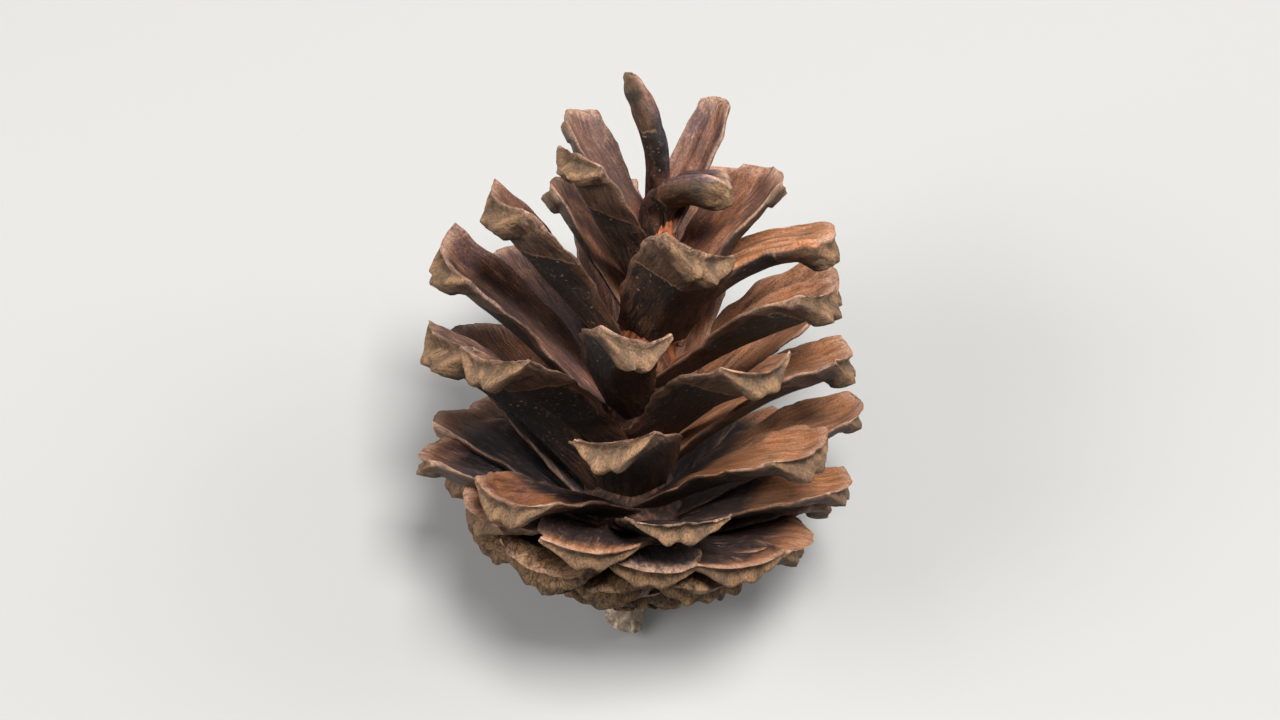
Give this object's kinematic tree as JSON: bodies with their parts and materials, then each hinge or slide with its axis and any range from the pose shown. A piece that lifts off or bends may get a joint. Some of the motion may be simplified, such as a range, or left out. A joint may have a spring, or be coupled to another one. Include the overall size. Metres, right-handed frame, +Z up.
{
  "type": "conifer cone",
  "caption": "Open dry conifer cone with woody scales in a spiral, lying back on its cut stalk and two scale tips.",
  "frame": {"origin": "centre of the bounding box in plan, on the surface that the cone rests on", "axes": "+Z up from the surface; the cone's own axis leans back, its tip up and towards +Y and its stalk low towards -Y; the cone is tallest along +Z"},
  "size_m": [0.0394, 0.0402, 0.0448],
  "materials": {
    "cone_wood": "matt weathered brown"
  },
  "bodies": {
    "root": {"cone": "cone_wood"}
  },
  "joints": []
}
